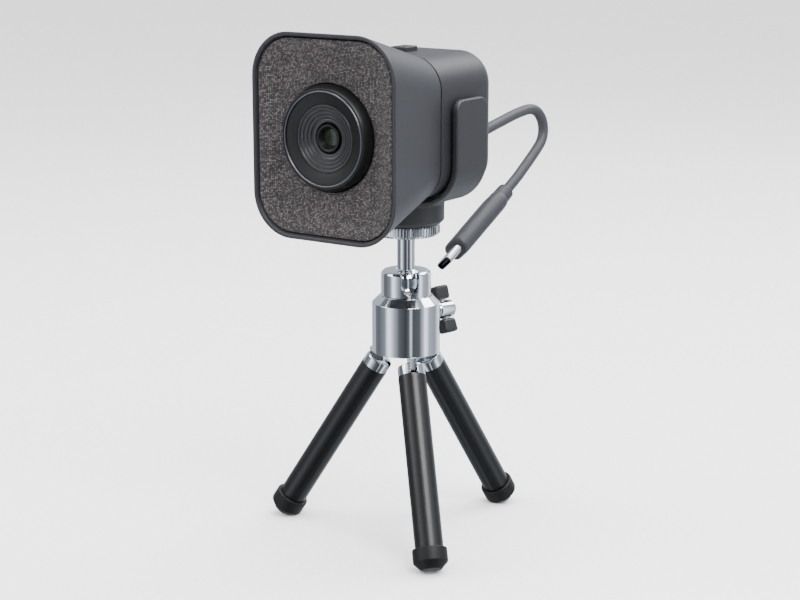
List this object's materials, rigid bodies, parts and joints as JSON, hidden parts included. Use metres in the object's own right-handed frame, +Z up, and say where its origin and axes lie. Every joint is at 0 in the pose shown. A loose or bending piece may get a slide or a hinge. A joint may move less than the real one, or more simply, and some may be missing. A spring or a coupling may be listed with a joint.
{
  "type": "webcam on tripod",
  "caption": "Rounded desktop webcam with a fabric front, held in a U-shaped cradle on a folding mini tripod with a ball head, and a short cable with a plug.",
  "frame": {"origin": "point on the floor under the tripod's centre line, which is also the line of the ball head's stem", "axes": "+Z up; the webcam looks along -Y; +X is on the left side of somebody who faces the lens, seen from the webcam's back on the right"},
  "size_m": [0.075, 0.1144, 0.1528],
  "materials": {
    "housing": "fine satin, dark graphite",
    "rear_plastic": "fine satin, dark graphite",
    "cradle_plastic": "satin, dark graphite",
    "grille_plastic": "matte black",
    "fabric": "melange weave, dark",
    "lens_black": "satin black",
    "ring_grey": "satin grey",
    "baffle_grey": "satin dark grey",
    "lens_glass": "coated",
    "filter_glass": "clear, tinted",
    "motor_steel": "plain",
    "magnet_nickel": "nickel plated",
    "copper_coil": "enamelled wire",
    "board_green": "solder mask",
    "chip_black": "matte",
    "sensor_silicon": "polished",
    "spreader_aluminium": "milled",
    "ribbon_amber": "film",
    "microphone_metal": "satin",
    "screw_steel": "zinc plated",
    "insert_brass": "turned",
    "polished_chrome": "polished",
    "seat_nylon": "natural",
    "pin_steel": "ground",
    "leg_black": "satin black",
    "foot_rubber": "moulded",
    "grip_plastic": "satin dark grey",
    "cable_jacket": "satin graphite",
    "plug_plastic": "satin graphite",
    "shell_steel": "bright",
    "contact_black": "moulded"
  },
  "bodies": {
    "tripod_head": {"leg_hub": "polished_chrome", "ball_socket": "polished_chrome", "leg_spider": "pin_steel", "hub_screw": "screw_steel"},
    "webcam": {"front_housing": "housing", "rear_housing": "rear_plastic", "housing_screws": "screw_steel", "grille_plate": "grille_plastic", "fabric_cover": "fabric", "lens_surround": "lens_black", "lens_rim_ring": "ring_grey", "lens_baffle": "baffle_grey", "focus_yoke": "motor_steel", "focus_magnets": "magnet_nickel", "focus_base": "lens_black", "ir_filter": "filter_glass", "image_sensor": "sensor_silicon", "sensor_board": "board_green", "sensor_board_screws": "screw_steel", "microphones": "microphone_metal", "main_board": "board_green", "main_board_screws": "screw_steel", "processor_chip": "chip_black", "heat_spreader": "spreader_aluminium", "board_ribbon": "ribbon_amber", "cradle": "cradle_plastic", "threaded_insert": "insert_brass", "cable_gland": "cable_jacket", "cable": "cable_jacket", "plug_collar": "plug_plastic", "plug_overmould": "plug_plastic", "plug_shell": "shell_steel", "plug_contacts": "contact_black"},
    "focus_lens": {"lens_barrel": "lens_black", "front_lens": "lens_glass", "middle_lens": "lens_glass", "rear_lens": "lens_glass", "lens_carrier": "chip_black", "focus_coil": "copper_coil"},
    "ball_stem": {"ball_stem": "polished_chrome"},
    "lock_disc": {"lock_disc": "polished_chrome"},
    "ball_seat": {"ball_seat": "seat_nylon"},
    "clamp_pin": {"wedge_pin": "pin_steel"},
    "thumb_screw": {"thumb_screw": "polished_chrome", "thumb_crossbar": "pin_steel", "thumb_grips": "grip_plastic"},
    "leg_1": {"leg_1_clevis": "polished_chrome", "leg_1_pin": "pin_steel", "leg_1_tube": "leg_black", "leg_1_foot": "foot_rubber"},
    "leg_2": {"leg_2_clevis": "polished_chrome", "leg_2_pin": "pin_steel", "leg_2_tube": "leg_black", "leg_2_foot": "foot_rubber"},
    "leg_3": {"leg_3_clevis": "polished_chrome", "leg_3_pin": "pin_steel", "leg_3_tube": "leg_black", "leg_3_foot": "foot_rubber"}
  },
  "joints": [
    {"name": "leg_1_fold", "type": "hinge", "parent": "tripod_head", "child": "leg_1", "pos_m": [-0.00879, -0.00235, 0.0516], "axis": [0.2588, -0.9659, 0], "range_deg": [0, 32]},
    {"name": "leg_2_fold", "type": "hinge", "parent": "tripod_head", "child": "leg_2", "pos_m": [0.00643, -0.00643, 0.0516], "axis": [0.7071, 0.7071, 0], "range_deg": [0, 32]},
    {"name": "leg_3_fold", "type": "hinge", "parent": "tripod_head", "child": "leg_3", "pos_m": [0.00235, 0.00879, 0.0516], "axis": [-0.9659, 0.2588, 0], "range_deg": [0, 32]},
    {"name": "ball_tilt", "type": "hinge", "parent": "tripod_head", "child": "ball_stem", "pos_m": [0, 0, 0.0766], "axis": [-0.7071, -0.7071, 0], "range_deg": [-90, 10]},
    {"name": "webcam_swivel", "type": "hinge", "parent": "ball_stem", "child": "webcam", "pos_m": [0, 0, 0.0766], "axis": [0, 0, 1], "continuous": true},
    {"name": "lock_disc_turn", "type": "hinge", "parent": "ball_stem", "child": "lock_disc", "pos_m": [0, 0, 0.0766], "axis": [0, 0, 1], "continuous": true},
    {"name": "clamp_pin_travel", "type": "slide", "parent": "tripod_head", "child": "clamp_pin", "axis": [0.2588, 0.9659, 0], "range_m": [0, 0.00105]},
    {"name": "thumb_screw_turn", "type": "hinge", "parent": "clamp_pin", "child": "thumb_screw", "pos_m": [0.00388, 0.01449, 0.0661], "axis": [0.2588, 0.9659, 0], "range_deg": [0, 540]},
    {"name": "ball_seat_drop", "type": "slide", "parent": "tripod_head", "child": "ball_seat", "axis": [0, 0, -1], "range_m": [0, 0.00062]},
    {"name": "lens_focus", "type": "slide", "parent": "webcam", "child": "focus_lens", "axis": [0, -1, 0], "range_m": [0, 0.00035], "stiffness_N_per_m": 150}
  ],
  "couplings": [
    {"joint": "thumb_screw_turn", "follows": "clamp_pin_travel", "rad_per_m": 8976},
    {"joint": "ball_seat_drop", "follows": "clamp_pin_travel", "ratio": 0.57576}
  ]
}
